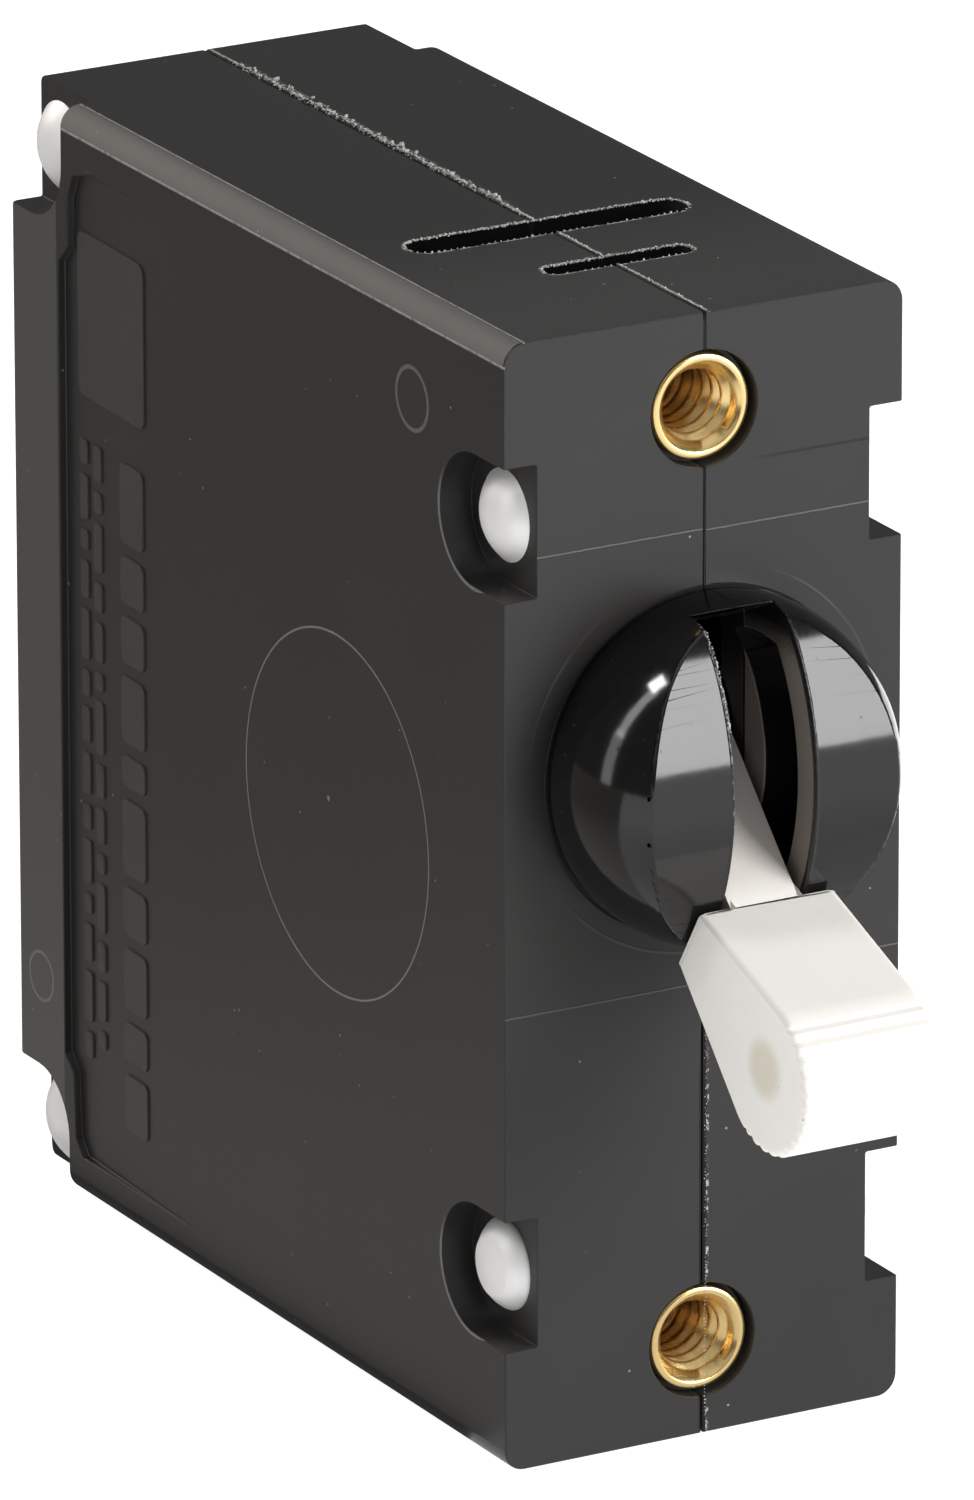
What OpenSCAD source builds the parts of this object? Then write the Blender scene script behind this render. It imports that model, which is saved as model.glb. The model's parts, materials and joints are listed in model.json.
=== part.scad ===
// Single-pole panel-mount circuit breaker with a toggle handle in a slotted ball.
// Millimetres. The front mounting face is the plane Y = 0 and the body runs to +Y.
// The origin is on that face, midway between the two threaded inserts. +Z is up.

/* [Case] */
// Width across both case halves
case_w = 19.05; // [18:0.05:22]
// Height of the case
case_h = 49.68; // [49:0.01:52]
// Depth from the front face to the rear face
case_d = 43.7; // [43.5:0.1:46]
// Thickness of the side walls
side_t = 1.525; // [1.4:0.025:2]
// Thickness of the front, rear, top and bottom walls
wall_t = 2; // [1.6:0.1:2.2]
// Radius of the long outer edges
edge_r = 0.95; // [0.5:0.05:1.2]
// Depth of the rivet pockets in the side faces
pocket_depth = 1.555; // [1.2:0.005:1.6]

/* [Mounting] */
// Distance between the two threaded inserts
insert_spacing = 41.275; // [41:0.025:41.5]
// Radius of the insert bore, the thread's minor radius
insert_bore_r = 1.4; // [1.3:0.05:1.5]
// Outer radius of the insert
insert_r = 2.3; // [2.1:0.05:2.4]

/* [Ball] */
// Radius of the ball round the handle slot
ball_r = 7.6; // [7.5:0.05:7.8]
// How far the ball's centre stands in front of the face
ball_out = 1.3; // [1.2:0.05:1.6]
// Radius of the curved front of the ball, about the handle's pivot
ball_front_r = 10.95; // [10.9:0.01:11]
// Width of the handle slot
slot_w = 3.9; // [3.8:0.05:3.95]

/* [Handle] */
// Height of the handle's pivot above the middle of the face
pivot_z = 5.3; // [5:0.05:5.5]
// Depth of the handle's pivot behind the face
pivot_y = 4.9; // [4.8:0.05:5]
// Width of the handle's paddle
paddle_w = 6.5; // [6:0.05:6.8]
// Radius of the paddle's tip
paddle_tip_r = 3.4; // [3.2:0.05:3.6]
// Distance from the pivot to the centre of the tip
paddle_reach = 18.65; // [18:0.05:19]
// Angle of the handle below the horizontal when off, and above it when on
handle_half_travel = 33; // [32:0.5:33]

/* [Terminals] */
// Height of each terminal screw above or below the middle
terminal_z = 13.5; // [13.4:0.05:13.7]
// Width of the terminal plates
terminal_w = 9.5; // [9:0.1:11]

/* [Hidden] */
$fn = 48;
half_w = case_w / 2;
half_h = case_h / 2;
side_x = half_w - side_t;
pocket_x = half_w - pocket_depth;
cavity_top = half_h - wall_t;
cavity_rear = case_d - wall_t;
insert_z = insert_spacing / 2;
slack = 0.01;

// Rivets, as [y, z], and the pockets that they sit in
front_rivet = [2.6, 16.55];
rear_rivet_top = [41.75, 22.1];
rear_rivet_low = [41.85, -22.55];
front_pocket_r = 2.9;
rear_pocket_r = 2.75;
rivet_r = 1.2;
rivet_head_r = 2;
rivet_head_h = 0.9;
front_block_y = 7.3;
front_block_z = 12.4;
rear_block_y = 37.9;
rear_block_z = 18.2;

// Inserts: the front end is sunk below the face, the flange keys them into the case
insert_sink = 0.3;
insert_len = 6;
insert_mouth_r = 1.55;
insert_bore_end = 5.25;
insert_flange_r = 2.9;
insert_flange_y = [3, 4.6];
insert_relief_r = 2.55;

// Handle slot: a wedge that opens towards the front
slot_half_at_face = 6.25;
slot_flare = 0.441;
shell_t = 1.66;
cheek_r = 6.6;

// Handle and its hub
hub_r = 3.7;
hub_half = 2.1;
hub_gap = 0.4;
hub_well_half = 3.3;
pin_r = 1;
running = 0.03;
stem_half = 1.6;
neck_s = 11.1;
neck_t = 1.62;
stem_root_s = 2;
stem_root_t = 3.1;
taper = 14;
handle_angle = 180 + handle_half_travel;
fork_half = 0.8;
crank_r = 2.6;
crank_angle = 56;
pivot = [pivot_y, pivot_z];
crank = pivot + crank_r * [cos(crank_angle), sin(crank_angle)];

// Contact bar: it turns about 0.22 of the handle's travel
bar_pivot = [15.2, -5];
bar_knee = [13.6, 3.26];
knee_r = norm(bar_knee - bar_pivot);
bar_angle = atan2(bar_knee[1] - bar_pivot[1], bar_knee[0] - bar_pivot[0]);
bar_len = 17.5;
bar_half_t = 0.8;
bar_half_w = 2;
bar_pin_r = 0.9;
small_pin_r = 0.6;
contact_half_w = 1.6;
contact_t = 1.1;

// Toggle link, from the crank to the knee of the contact bar
link_half_t = 0.6;
link_dir = atan2(bar_knee[1] - crank[1], bar_knee[0] - crank[0]);
link_slot = [7.9, 8.4];
link_slot_r = 0.92;
link_eye_r = 1.3;
link_end_r = 1.6;

// Trip lever
lever_pivot = [10.5, -1.5];
lever_pin_r = 0.7;
lever_half_w = 1.5;
lever_half_t = 0.6;

// Magnet: coil axis along Y at coil_z
coil_z = -14;
bobbin_y = [13.2, 36.1];
flange_t = 1;
flange_r = 7;
bobbin_r = 3.9;
tube_r = 3.2;
tube_bore = 2.7;
tube_y = [12.9, 38.6];
winding_r = 5.6;
wire_r = 0.6;
wire_turns = 16;
pole_y = 11.1;
pole_r = 4.4;
frame_floor = -cavity_top;
frame_t = 1.5;
frame_half_w = 6;
core_len = 9;
core_clear = 0.08;

// Armature
arm_pivot = [8.8, -20.2];
arm_y = [8.1, 9.5];
arm_top = -5.5;
arm_half_w = 4.5;
arm_knuckle_r = 1.2;

// Line side: fixed contact and terminal strap
strap_z = [9.5, 10.7];
strap_half_w = 3;
fixed_y = [18.25, 19.4];
plate_t = 1.4;
plate_half_h = 5.5;
collar_r = 3.2;
screw_bore_r = 2;
washer_t = 0.6;
washer_r = 3.9;
head_r = 4.4;
head_h = 2.6;

// Arc chute
chute_y = [9, 26];
chute_z = [14.4, 22.4];
chute_side_t = 1.1;
chute_plates = 5;
chute_plate_t = 0.8;

// ---- Shared shapes -------------------------------------------------------

// A 2D outline in [y, z] pushed along X from x0 to x1
module slab(x0, x1) {
    translate([x0, 0, 0]) rotate([90, 0, 90]) linear_extrude(x1 - x0) children();
}

// A round rod along X
module x_rod(at, r, x0, x1) {
    slab(x0, x1) translate(at) circle(r);
}

// A round rod along Y
module y_rod(x, z, r, y0, y1) {
    translate([x, y0, z]) rotate([-90, 0, 0]) cylinder(r = r, h = y1 - y0);
}

// A box from two corners
module block(low, high) {
    translate(low) cube(high - low);
}

// A rectangle from two corners
module rect(low, high) {
    translate(low) square(high - low);
}

// The same shape on both sides of the seam
module both_sides() {
    children();
    mirror([1, 0, 0]) children();
}

// A round-ended bar in 2D from a to b, both on one line through them
module lozenge(a, b, r) {
    along = norm(b - a);
    translate(a) rotate(atan2(b[1] - a[1], b[0] - a[0])) {
        translate([0, -r]) square([along, 2 * r]);
        circle(r);
        translate([along, 0]) circle(r);
    }
}

// A coil of round wire about +Z that starts at z = 0
function coil_centre(r, pitch, a) = [r * cos(a), r * sin(a), pitch * a / 360];
function coil_ring(r, wire, pitch, a, sides) = [
    for (k = [0 : sides - 1])
        let (b = 360 * k / sides)
        coil_centre(r, pitch, a)
            + [wire * cos(b) * cos(a), wire * cos(b) * sin(a), wire * sin(b)]
];
module coil(r, wire, pitch, turns) {
    sides = 8;
    per_turn = 16;
    steps = turns * per_turn;
    points = [
        for (i = [0 : steps])
            each coil_ring(r, wire, pitch, 360 * i / per_turn, sides)
    ];
    skin = [
        for (i = [0 : steps - 1], k = [0 : sides - 1])
            let (j = (k + 1) % sides)
            [i * sides + k, i * sides + j, (i + 1) * sides + j, (i + 1) * sides + k]
    ];
    first = [for (k = [0 : sides - 1]) sides - 1 - k];
    last = [for (k = [0 : sides - 1]) steps * sides + k];
    polyhedron(points = points, faces = concat(skin, [first, last]), convexity = 10);
}

// ---- Case ----------------------------------------------------------------

// Outline of the left half in [x, z]
module half_outline() {
    rect([-half_w + edge_r, -half_h], [0, half_h]);
    rect([-half_w, -half_h + edge_r], [0, half_h - edge_r]);
    for (side = [-1, 1])
        translate([-half_w + edge_r, side * (half_h - edge_r)]) circle(edge_r);
}

// The room inside the case in [y, z], with the rivet and insert blocks left solid
module cavity_outline() {
    difference() {
        rect([wall_t, -cavity_top], [cavity_rear, cavity_top]);
        rect([0, front_block_z], [front_block_y, half_h]);
        rect([0, -half_h], [front_block_y, -front_block_z]);
        rect([rear_block_y, rear_block_z], [case_d, half_h]);
        rect([rear_block_y, -half_h], [case_d, -rear_block_z - 0.4]);
    }
}

module front_pocket(z) {
    translate([front_rivet[0], z]) circle(front_pocket_r);
    rect([-1, z - front_pocket_r], [front_rivet[0], z + front_pocket_r]);
}

// The pocket at a rear corner, open to the rear and to the top or bottom
module rear_pocket(centre, up) {
    r = rear_pocket_r;
    translate(centre) circle(r);
    translate(centre) rotate(up > 0 ? 0 : -90) {
        rect([0, -r], [r + 2, r + 2]);
        rect([-r, 0], [r + 2, r + 2]);
    }
}

module pockets() {
    slab(-half_w - 1, -pocket_x) {
        for (side = [-1, 1]) front_pocket(side * front_rivet[1]);
        rear_pocket(rear_rivet_top, 1);
        rear_pocket(rear_rivet_low, -1);
    }
}

// A sphere about the ball's centre, with its poles on the X axis
module ball(r) {
    translate([0, -ball_out, pivot_z]) rotate([0, 90, 0]) sphere(r);
}

// The part of the ball that lies on this half, with its curved front
module ball_half() {
    intersection() {
        ball(ball_r);
        x_rod(pivot, ball_front_r, -ball_r - 1, 0);
        block([-ball_r - 1, -ball_r - 3, pivot_z - ball_r - 1], [0, 0.5, pivot_z + ball_r + 1]);
    }
}

// The hollow behind the ball's front, between its shell and the guide cheeks
module ball_hollow() {
    intersection() {
        ball(ball_r - shell_t);
        slab(-ball_r, 0) difference() {
            translate(pivot) circle(ball_front_r - shell_t);
            translate(pivot) circle(cheek_r);
        }
    }
}

// The slot that the stem of the handle swings in
module stem_slot() {
    front = -10;
    back = 5;
    slab(-slot_w / 2, 0) translate([0, pivot_z]) polygon([
        [front, -slot_half_at_face + slot_flare * front],
        [back, -slot_half_at_face + slot_flare * back],
        [back, slot_half_at_face - slot_flare * back],
        [front, slot_half_at_face - slot_flare * front]
    ]);
}

// A vent slot across the top, cut down into the case
module vent(y0, y1, reach) {
    r = (y1 - y0) / 2;
    translate([0, 0, cavity_top - 1]) linear_extrude(wall_t + 2) {
        rect([-reach + r, y0], [0, y1]);
        translate([-reach + r, (y0 + y1) / 2]) circle(r);
    }
}

// The two threaded inserts' seats
module insert_seats() {
    for (side = [-1, 1]) {
        y_rod(0, side * insert_z, insert_r, -1, insert_len);
        y_rod(0, side * insert_z, insert_relief_r, -1, 1);
        y_rod(0, side * insert_z, insert_flange_r, insert_flange_y[0], insert_flange_y[1]);
    }
}

// The openings in the rear wall for the terminal straps and their collars
module terminal_openings() {
    for (side = [-1, 1]) {
        y_rod(0, side * terminal_z, collar_r, cavity_rear - 1, case_d + 1);
        slab(-strap_half_w, strap_half_w)
            rect([cavity_rear - 1, min(side * strap_z)], [case_d + 1, max(side * strap_z)]);
    }
}

// A boss on the side wall for the end of a pin
module pin_boss(at, r, inner_x) {
    x_rod(at, r, -side_x - slack, -inner_x);
}

module rivet_holes() {
    for (at = [front_rivet, [front_rivet[0], -front_rivet[1]], rear_rivet_top, rear_rivet_low])
        x_rod(at, rivet_r, -half_w - 1, 1);
}

module case_half(vent_a, vent_b) {
    difference() {
        union() {
            difference() {
                union() {
                    translate([0, case_d, 0]) rotate([90, 0, 0]) linear_extrude(case_d)
                        half_outline();
                    ball_half();
                }
                slab(-side_x, 1) cavity_outline();
                pockets();
                ball_hollow();
                stem_slot();
                x_rod(pivot, hub_r + hub_gap, -hub_well_half, 1);
                vent(12.7, 14.6, vent_a);
                vent(7.5, 8.7, vent_b);
                insert_seats();
                terminal_openings();
                rivet_holes();
                x_rod([10.75, 9.2], 0.8, -side_x - 0.5, 1);
            }
            pin_boss(pivot, 2.4, hub_well_half);
            pin_boss(bar_pivot, 2, 3.3);
            pin_boss(lever_pivot, 1.6, 1.8);
        }
        x_rod(pivot, pin_r, -6, 1);
        x_rod(bar_pivot, bar_pin_r, -6, 1);
        x_rod(lever_pivot, lever_pin_r, -5, 1);
    }
}

module case_left() {
    color("#2b2a2a") case_half(6.5, 3.1);
}

module case_right() {
    color("#302f2f") mirror([1, 0, 0]) case_half(6.9, 4);
}

// One rivet along X with a domed head on each side
module rivet(at) {
    dome_r = (rivet_head_r * rivet_head_r + rivet_head_h * rivet_head_h) / (2 * rivet_head_h);
    x_rod(at, rivet_r, -pocket_x, pocket_x);
    both_sides() intersection() {
        translate([pocket_x + rivet_head_h - dome_r, at[0], at[1]]) rotate([0, 90, 0])
            sphere(dome_r);
        x_rod(at, rivet_head_r, pocket_x, pocket_x + rivet_head_h + 1);
    }
}

module case_rivets() {
    color("#b9b8b4") {
        rivet(front_rivet);
        rivet([front_rivet[0], -front_rivet[1]]);
        rivet(rear_rivet_top);
        rivet(rear_rivet_low);
    }
}

module mounting_inserts() {
    csk = insert_mouth_r - insert_bore_r;
    color("#c9a34a") for (side = [-1, 1])
        translate([0, 0, side * insert_z]) rotate([-90, 0, 0]) rotate_extrude() polygon([
            [insert_mouth_r, insert_sink], [insert_r, insert_sink],
            [insert_r, insert_flange_y[0]], [insert_flange_r, insert_flange_y[0]],
            [insert_flange_r, insert_flange_y[1]], [insert_r, insert_flange_y[1]],
            [insert_r, insert_len], [0, insert_len],
            [0, insert_bore_end], [insert_bore_r, insert_bore_end],
            [insert_bore_r, insert_sink + csk]
        ]);
}

// ---- Handle --------------------------------------------------------------

// Places a 2D outline whose +X runs from the pivot out along the handle
module along_handle() {
    translate(pivot) rotate(handle_angle) children();
}

module paddle_outline() {
    shoulder_s = paddle_reach - paddle_tip_r * sin(taper);
    shoulder_t = paddle_tip_r * cos(taper);
    polygon([
        [neck_s, -neck_t], [shoulder_s, -shoulder_t],
        [shoulder_s, shoulder_t], [neck_s, neck_t]
    ]);
    translate([paddle_reach, 0]) circle(paddle_tip_r);
}

module handle() {
    color("#ece7dc") difference() {
        union() {
            slab(-paddle_w / 2, paddle_w / 2) along_handle() paddle_outline();
            slab(-stem_half, stem_half) along_handle() polygon([
                [stem_root_s, -stem_root_t], [neck_s + slack, -neck_t],
                [neck_s + slack, neck_t], [stem_root_s, stem_root_t]
            ]);
            x_rod(pivot, hub_r, -hub_half, hub_half);
        }
        slab(-fork_half, fork_half) along_handle()
            rect([-hub_r - 1, -hub_r - 1], [0.4, hub_r + 1]);
        x_rod(pivot, pin_r + running, -hub_half - 1, hub_half + 1);
        x_rod(crank, small_pin_r, -hub_half - 1, hub_half + 1);
    }
}

module handle_pin() {
    color("silver") x_rod(pivot, pin_r, -6, 6);
}

// Torsion spring on the handle's pin, beside the hub
module handle_spring() {
    color("#9a9a98")
        translate([2.4, pivot_y, pivot_z]) rotate([0, 90, 0]) coil(1.9, 0.22, 0.5, 1.25);
}

module link_front_pin() {
    color("silver") x_rod(crank, small_pin_r, -hub_half, hub_half);
}

// ---- Toggle link and contact bar -----------------------------------------

module toggle_link() {
    color("#8f8f8c") slab(-link_half_t, link_half_t)
        translate(crank) rotate(link_dir) difference() {
            union() {
                circle(link_eye_r);
                rect([0, -link_half_t - 0.2], [link_slot[0], link_half_t + 0.2]);
                lozenge([link_slot[0], 0], [link_slot[1], 0], link_end_r);
            }
            circle(small_pin_r + running);
            lozenge([link_slot[0], 0], [link_slot[1], 0], link_slot_r);
        }
}

module link_rear_pin() {
    color("silver") x_rod(bar_knee, small_pin_r, -bar_half_w, bar_half_w);
}

// Places a 2D outline whose +Y runs from the bar's pivot up along the bar
module along_bar() {
    translate(bar_pivot) rotate(bar_angle - 90) children();
}

module contact_bar() {
    fork = 2.3;
    color("#b87333") difference() {
        slab(-bar_half_w, bar_half_w) along_bar() {
            circle(1.5);
            rect([-bar_half_t, 0], [bar_half_t, bar_len]);
            translate([0, bar_len]) circle(bar_half_t);
            translate([0, knee_r]) circle(1.4);
        }
        slab(-fork_half, fork_half) along_bar()
            rect([-3, knee_r - fork], [3, knee_r + fork]);
        x_rod(bar_pivot, bar_pin_r + running, -3, 3);
        x_rod(bar_knee, small_pin_r, -3, 3);
    }
}

module moving_contact() {
    color("#d5d5d0") slab(-contact_half_w, contact_half_w) along_bar()
        rect([bar_half_t, bar_len - 2.1], [bar_half_t + contact_t, bar_len - 0.1]);
}

module bar_pivot_pin() {
    color("silver") x_rod(bar_pivot, bar_pin_r, -6, 6);
}

module bar_spring() {
    color("#9a9a98")
        translate([2.4, bar_pivot[0], bar_pivot[1]]) rotate([0, 90, 0]) coil(1.35, 0.2, 0.45, 1.25);
}

module bar_stop() {
    color("#7b4a2a") x_rod([10.75, 9.2], 0.8, -side_x - 0.5, side_x + 0.5);
}

// ---- Line side -----------------------------------------------------------

module fixed_contact() {
    color("#d5d5d0") block([-contact_half_w, fixed_y[0], 10.4], [contact_half_w, fixed_y[1], 12.6]);
}

// The plate outside the rear wall with its threaded collar
module terminal_plate() {
    difference() {
        union() {
            block([-terminal_w / 2, case_d, terminal_z - plate_half_h],
                  [terminal_w / 2, case_d + plate_t, terminal_z + plate_half_h]);
            y_rod(0, terminal_z, collar_r, cavity_rear, case_d + slack);
            block([-strap_half_w, cavity_rear - 2, strap_z[0]],
                  [strap_half_w, case_d + slack, strap_z[1]]);
        }
        y_rod(0, terminal_z, screw_bore_r, cavity_rear - 3, case_d + plate_t + 1);
    }
}

module line_terminal() {
    color("#c9a34a") {
        terminal_plate();
        block([-strap_half_w, fixed_y[1], strap_z[0]],
              [strap_half_w, cavity_rear - 1.9, strap_z[1]]);
        block([-strap_half_w, fixed_y[1], strap_z[0]], [strap_half_w, fixed_y[1] + 1.2, 13.6]);
    }
}

module arc_plates() {
    step = (chute_y[1] - chute_y[0] - 3) / (chute_plates - 1);
    color("#77787a") for (i = [0 : chute_plates - 1]) {
        y = chute_y[0] + 1.5 + i * step;
        difference() {
            block([-side_x + chute_side_t, y - chute_plate_t / 2, chute_z[0]],
                  [side_x - chute_side_t, y + chute_plate_t / 2, chute_z[1]]);
            translate([0, y + 1, chute_z[0]]) rotate([90, 0, 0]) linear_extrude(2)
                polygon([[-2.2, -1], [2.2, -1], [0.7, 3.5], [-0.7, 3.5]]);
        }
    }
}

module arc_chute_sides() {
    color("#8a3b2a") both_sides()
        block([side_x - chute_side_t, chute_y[0], chute_z[0]], [side_x, chute_y[1], chute_z[1]]);
}

// ---- Magnet --------------------------------------------------------------

module magnet_frame() {
    ear_x = [4.8, frame_half_w];
    ear_r = 1.3;
    rear = [bobbin_y[1], bobbin_y[1] + frame_t];
    color("#8b8d8f") difference() {
        union() {
            block([-frame_half_w, 10.7, frame_floor],
                  [frame_half_w, rear[1], frame_floor + frame_t]);
            block([-5, rear[0], frame_floor], [5, rear[1], coil_z + 6]);
            both_sides() slab(ear_x[0], ear_x[1]) {
                translate(arm_pivot) circle(ear_r);
                rect([arm_pivot[0], frame_floor], [13, arm_pivot[1] + ear_r]);
                rect([arm_pivot[0] - ear_r, frame_floor], [arm_pivot[0] + 1, arm_pivot[1]]);
            }
        }
        y_rod(0, coil_z, tube_r, rear[0] - 1, rear[1] + 1);
        x_rod(arm_pivot, small_pin_r, -frame_half_w - 1, frame_half_w + 1);
    }
}

module pole_piece() {
    color("#9b9c9e") {
        y_rod(0, coil_z, pole_r, pole_y, tube_y[0]);
        y_rod(0, coil_z, tube_bore, tube_y[0] - slack, tube_y[0] + 2.1);
    }
}

module coil_bobbin() {
    color("#dcd7c6") difference() {
        union() {
            y_rod(0, coil_z, bobbin_r, bobbin_y[0], bobbin_y[1]);
            y_rod(0, coil_z, flange_r, bobbin_y[0], bobbin_y[0] + flange_t);
            y_rod(0, coil_z, flange_r, bobbin_y[1] - flange_t, bobbin_y[1]);
        }
        y_rod(0, coil_z, tube_r, bobbin_y[0] - 1, bobbin_y[1] + 1);
    }
}

module coil_winding() {
    low = bobbin_y[0] + flange_t;
    high = bobbin_y[1] - flange_t;
    pitch = (high - low) / wire_turns;
    color("#b5622c") translate([0, 0, coil_z]) rotate([-90, 0, 0]) rotate_extrude() {
        rect([bobbin_r, low], [winding_r, high]);
        for (i = [0 : wire_turns - 1])
            translate([winding_r, low + (i + 0.5) * pitch]) circle(wire_r, $fn = 16);
    }
}

// Wire ends: one up to the braid, one back to the load terminal
module coil_leads() {
    top = coil_z + winding_r + wire_r;
    color("#b5622c") {
        translate([0, 21.6, top]) cylinder(r = wire_r, h = -4.4 - top);
        translate([0, 33, top]) cylinder(r = wire_r, h = 1.6);
        y_rod(0, top + 1.6, wire_r, 33, 39.8);
    }
}

module delay_tube() {
    color("#c9b27a") difference() {
        y_rod(0, coil_z, tube_r, tube_y[0], tube_y[1]);
        y_rod(0, coil_z, tube_bore, tube_y[0] - 1, tube_y[1] + 1);
    }
}

module delay_tube_cap() {
    color("#c9b27a") y_rod(0, coil_z, tube_r, tube_y[1], tube_y[1] + 0.6);
}

module delay_core() {
    color("#6f7072") y_rod(0, coil_z, tube_bore - core_clear,
                           tube_y[1] - 0.2 - core_len, tube_y[1] - 0.2);
}

module delay_spring() {
    low = tube_y[0] + 2.4;
    high = tube_y[1] - 0.5 - core_len;
    turns = 8;
    color("#9a9a98") translate([0, low + 0.1, coil_z]) rotate([-90, 0, 0])
        coil(1.9, 0.25, (high - low - 0.3) / turns, turns);
}

// ---- Armature and trip lever ---------------------------------------------

module armature() {
    color("#8b8d8f") difference() {
        union() {
            block([-arm_half_w, arm_y[0], arm_pivot[1]], [arm_half_w, arm_y[1], arm_top]);
            x_rod(arm_pivot, arm_knuckle_r, -arm_half_w, arm_half_w);
        }
        x_rod(arm_pivot, small_pin_r + running, -arm_half_w - 1, arm_half_w + 1);
    }
}

module armature_pin() {
    color("silver") x_rod(arm_pivot, small_pin_r, -frame_half_w, side_x - 0.4);
}

// Torsion spring outside one ear that turns the armature away from the pole
module armature_spring() {
    color("#9a9a98")
        translate([frame_half_w + 0.25, arm_pivot[0], arm_pivot[1]]) rotate([0, 90, 0])
            coil(1.1, 0.2, 0.45, 2.5);
}

module trip_lever() {
    color("#c8b894") difference() {
        slab(-lever_half_w, lever_half_w) {
            translate(lever_pivot) circle(1.2);
            rect(lever_pivot + [-lever_half_t, -4.5], lever_pivot + [lever_half_t, 0]);
            lozenge(lever_pivot, lever_pivot + [-0.9, 2.5], lever_half_t);
        }
        x_rod(lever_pivot, lever_pin_r + running, -3, 3);
    }
}

module trip_lever_pin() {
    color("silver") x_rod(lever_pivot, lever_pin_r, -5, 5);
}

// ---- Load side -----------------------------------------------------------

// Flat copper braid from the back of the contact bar to the coil's front lead
module flexible_braid() {
    bend = [18, -2.6];
    outer = 4;
    color("#b5622c") slab(-1.5, 1.5) {
        rect([14.95, bend[1] + outer - 0.8], [bend[0], bend[1] + outer]);
        intersection() {
            difference() {
                translate(bend) circle(outer);
                translate(bend) circle(outer - 0.8);
            }
            rect(bend, bend + [outer, outer]);
        }
        rect([bend[0] + outer - 0.8, -4.4], [bend[0] + outer, bend[1]]);
    }
}

module load_terminal() {
    color("#c9a34a") {
        mirror([0, 0, 1]) terminal_plate();
        block([-strap_half_w, cavity_rear - 1.9, -strap_z[1]], [strap_half_w, cavity_rear - 0.7, -5]);
    }
}

module terminal_washers() {
    y = case_d + plate_t;
    color("#b0b0ae") for (side = [-1, 1]) difference() {
        y_rod(0, side * terminal_z, washer_r, y, y + washer_t);
        y_rod(0, side * terminal_z, screw_bore_r + 0.45, y - 1, y + washer_t + 1);
    }
}

module terminal_screws() {
    y = case_d + plate_t + washer_t;
    crown_r = 9;
    color("#c0bfba") for (side = [-1, 1]) {
        y_rod(0, side * terminal_z, screw_bore_r, y - 4.6, y + slack);
        difference() {
            intersection() {
                y_rod(0, side * terminal_z, head_r, y, y + head_h);
                translate([0, y + head_h - crown_r, side * terminal_z]) sphere(crown_r);
            }
            block([-head_r - 1, y + head_h - 1.3, side * terminal_z - 0.6],
                  [head_r + 1, y + head_h + 1, side * terminal_z + 0.6]);
        }
    }
}

// ---- Assembly ------------------------------------------------------------

case_left();
case_right();
case_rivets();
mounting_inserts();
handle();
handle_pin();
handle_spring();
link_front_pin();
toggle_link();
link_rear_pin();
contact_bar();
moving_contact();
bar_pivot_pin();
bar_spring();
bar_stop();
fixed_contact();
line_terminal();
arc_plates();
arc_chute_sides();
magnet_frame();
pole_piece();
coil_bobbin();
coil_winding();
coil_leads();
delay_tube();
delay_tube_cap();
delay_core();
delay_spring();
armature();
armature_pin();
armature_spring();
trip_lever();
trip_lever_pin();
flexible_braid();
load_terminal();
terminal_washers();
terminal_screws();
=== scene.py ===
"""Looks of a single-pole panel-mount circuit breaker: moulded case, slotted ball,
white toggle handle, brass inserts and riveted corners. Metres, in the part's own frame."""

import json
import math

import bmesh
import bpy
from mathutils import Matrix, Vector


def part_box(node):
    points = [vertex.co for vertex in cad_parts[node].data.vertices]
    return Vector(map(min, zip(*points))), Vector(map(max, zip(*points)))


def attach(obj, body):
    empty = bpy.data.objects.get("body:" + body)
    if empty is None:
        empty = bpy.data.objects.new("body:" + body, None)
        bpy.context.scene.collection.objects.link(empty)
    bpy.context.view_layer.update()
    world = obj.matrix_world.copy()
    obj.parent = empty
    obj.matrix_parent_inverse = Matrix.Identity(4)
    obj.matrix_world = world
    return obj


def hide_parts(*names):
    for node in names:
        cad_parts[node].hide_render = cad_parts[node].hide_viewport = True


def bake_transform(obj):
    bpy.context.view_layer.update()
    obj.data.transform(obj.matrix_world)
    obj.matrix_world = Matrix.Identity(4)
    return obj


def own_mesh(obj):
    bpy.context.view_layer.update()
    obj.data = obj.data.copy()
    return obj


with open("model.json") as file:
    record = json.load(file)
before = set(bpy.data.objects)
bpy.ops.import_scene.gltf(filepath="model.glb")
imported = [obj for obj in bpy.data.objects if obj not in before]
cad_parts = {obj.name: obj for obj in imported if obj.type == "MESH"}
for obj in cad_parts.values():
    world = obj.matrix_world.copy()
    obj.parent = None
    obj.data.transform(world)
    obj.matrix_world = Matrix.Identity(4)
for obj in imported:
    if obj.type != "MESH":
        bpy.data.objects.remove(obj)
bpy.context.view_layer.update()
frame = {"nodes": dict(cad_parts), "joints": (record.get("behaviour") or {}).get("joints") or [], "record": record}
scene = bpy.context.scene
MM = 0.001

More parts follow.
